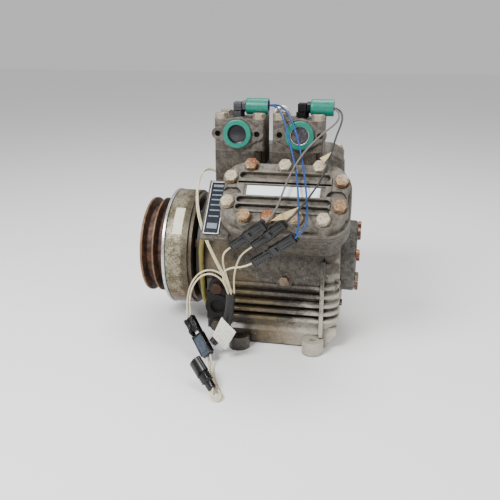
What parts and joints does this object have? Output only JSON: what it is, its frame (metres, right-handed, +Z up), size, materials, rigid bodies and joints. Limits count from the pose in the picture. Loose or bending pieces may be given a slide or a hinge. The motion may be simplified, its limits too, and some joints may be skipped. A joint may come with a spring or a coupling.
{
  "type": "open-drive refrigeration compressor",
  "caption": "Open-drive vee reciprocating refrigeration compressor with a grooved clutch pulley, twin shut-off valves, bolted heads, a finned crankcase and a loose wiring harness.",
  "frame": {"origin": "centre of the four foot holes on the resting plane", "axes": "+X along the crankshaft from the pulley towards the rear cover, +Y from the front bank towards the rear bank, +Z up"},
  "size_m": [0.3492, 0.4416, 0.3849],
  "materials": {
    "armature_plate": "worn bright",
    "armature_springs": "spring steel",
    "bearing_core": "ground",
    "black_lead": "insulation",
    "blue_lead_1": "insulation",
    "blue_lead_2": "insulation",
    "case_bolts": "dark rust",
    "case_plugs": "dull",
    "clutch_coil": "potting resin",
    "clutch_magnet": "dull plated",
    "clutch_rotor": "worn",
    "coil_lead_1": "insulation",
    "coil_lead_2": "insulation",
    "connecting_rods": "forged",
    "coupler": "moulded",
    "crankcase": "oily cast",
    "crankshaft": "ground",
    "cylinder_gaskets": "matt fibre",
    "discharge_spindle": "turned",
    "discharge_switch": "dark plated",
    "discharge_valve": "cast",
    "drain_hose": "oily",
    "front_cover": "dark oily",
    "front_head": "cast, weathered",
    "grey_lead": "insulation",
    "harness_sleeve": "wrapped tape",
    "lead_a": "insulation",
    "lead_b": "insulation",
    "lead_c": "insulation",
    "lifting_eye": "zinc",
    "m10_bolts": "rusty zinc",
    "main_bushes": "bronze",
    "nameplate": "printed",
    "pin_plug": "moulded",
    "piston_1": "turned",
    "piston_2": "turned",
    "piston_3": "turned",
    "piston_4": "turned",
    "plug_lead_1": "insulation",
    "plug_lead_2": "insulation",
    "port_plugs": "moulded",
    "pulley": "rust",
    "pulley_bearing_ring": "ground",
    "rear_cover": "cast",
    "rear_head": "cast, weathered",
    "rotor_fixings": "plated",
    "shaft_seal_ring": "pressed",
    "sight_flange": "oily",
    "spindle_caps": "dull",
    "suction_spindle": "turned",
    "suction_switch": "dark plated",
    "suction_valve": "cast",
    "sump_plate": "cast",
    "switch_caps": "moulded",
    "tail_lead_1": "insulation",
    "tail_lead_2": "insulation",
    "valve_plates": "ground",
    "valve_reeds": "bright spring steel",
    "wire_connectors": "moulded",
    "wire_tags": "paper"
  },
  "bodies": {
    "root": {"black_lead": "black_lead", "blue_lead_1": "blue_lead_1", "blue_lead_2": "blue_lead_2", "case_bolts": "case_bolts", "case_plugs": "case_plugs", "clutch_coil": "clutch_coil", "clutch_magnet": "clutch_magnet", "coil_lead_1": "coil_lead_1", "coil_lead_2": "coil_lead_2", "connecting_rods": "connecting_rods", "coupler": "coupler", "crankcase": "crankcase", "cylinder_gaskets": "cylinder_gaskets", "discharge_switch": "discharge_switch", "discharge_valve": "discharge_valve", "drain_hose": "drain_hose", "front_cover": "front_cover", "front_head": "front_head", "grey_lead": "grey_lead", "harness_sleeve": "harness_sleeve", "lead_a": "lead_a", "lead_b": "lead_b", "lead_c": "lead_c", "lifting_eye": "lifting_eye", "m10_bolts": "m10_bolts", "main_bushes": "main_bushes", "nameplate": "nameplate", "pin_plug": "pin_plug", "plug_lead_1": "plug_lead_1", "plug_lead_2": "plug_lead_2", "port_plugs": "port_plugs", "rear_cover": "rear_cover", "rear_head": "rear_head", "sight_flange": "sight_flange", "spindle_caps": "spindle_caps", "suction_switch": "suction_switch", "suction_valve": "suction_valve", "sump_plate": "sump_plate", "switch_caps": "switch_caps", "tail_lead_1": "tail_lead_1", "tail_lead_2": "tail_lead_2", "valve_plates": "valve_plates", "valve_reeds": "valve_reeds", "wire_connectors": "wire_connectors", "wire_tags": "wire_tags"},
    "crank": {"crankshaft": "crankshaft", "shaft_seal_ring": "shaft_seal_ring", "clutch_rotor": "clutch_rotor", "bearing_core": "bearing_core", "rotor_fixings": "rotor_fixings"},
    "pulley": {"pulley": "pulley", "pulley_bearing_ring": "pulley_bearing_ring", "armature_springs": "armature_springs"},
    "armature": {"armature_plate": "armature_plate"},
    "piston_1": {"piston_1": "piston_1"},
    "piston_2": {"piston_2": "piston_2"},
    "piston_3": {"piston_3": "piston_3"},
    "piston_4": {"piston_4": "piston_4"},
    "discharge_spindle": {"discharge_spindle": "discharge_spindle"},
    "suction_spindle": {"suction_spindle": "suction_spindle"}
  },
  "joints": [
    {"name": "crankshaft_spin", "type": "hinge", "parent": "root", "child": "crank", "pos_m": [0, 0, 0.133], "axis": [1, 0, 0], "continuous": true, "deforming": ["connecting_rods"]},
    {"name": "pulley_spin", "type": "hinge", "parent": "crank", "child": "pulley", "pos_m": [-0.2035, 0, 0.133], "axis": [1, 0, 0], "continuous": true},
    {"name": "armature_slide", "type": "slide", "parent": "pulley", "child": "armature", "axis": [1, 0, 0], "range_m": [0, 0.00048], "stiffness_N_per_m": 4000},
    {"name": "piston_1_slide", "type": "slide", "parent": "root", "child": "piston_1", "axis": [0, -0.7071, 0.7071], "range_m": [-0.04, 0.0086]},
    {"name": "piston_2_slide", "type": "slide", "parent": "root", "child": "piston_2", "axis": [0, -0.7071, 0.7071], "range_m": [-0.0054, 0.0432]},
    {"name": "piston_3_slide", "type": "slide", "parent": "root", "child": "piston_3", "axis": [0, 0.7071, 0.7071], "range_m": [-0.04, 0.0086]},
    {"name": "piston_4_slide", "type": "slide", "parent": "root", "child": "piston_4", "axis": [0, 0.7071, 0.7071], "range_m": [-0.0054, 0.0432]},
    {"name": "discharge_spindle_travel", "type": "slide", "parent": "root", "child": "discharge_spindle", "axis": [0, -1, 0], "range_m": [0, 0.01]},
    {"name": "suction_spindle_travel", "type": "slide", "parent": "root", "child": "suction_spindle", "axis": [0, -1, 0], "range_m": [0, 0.01]}
  ]
}
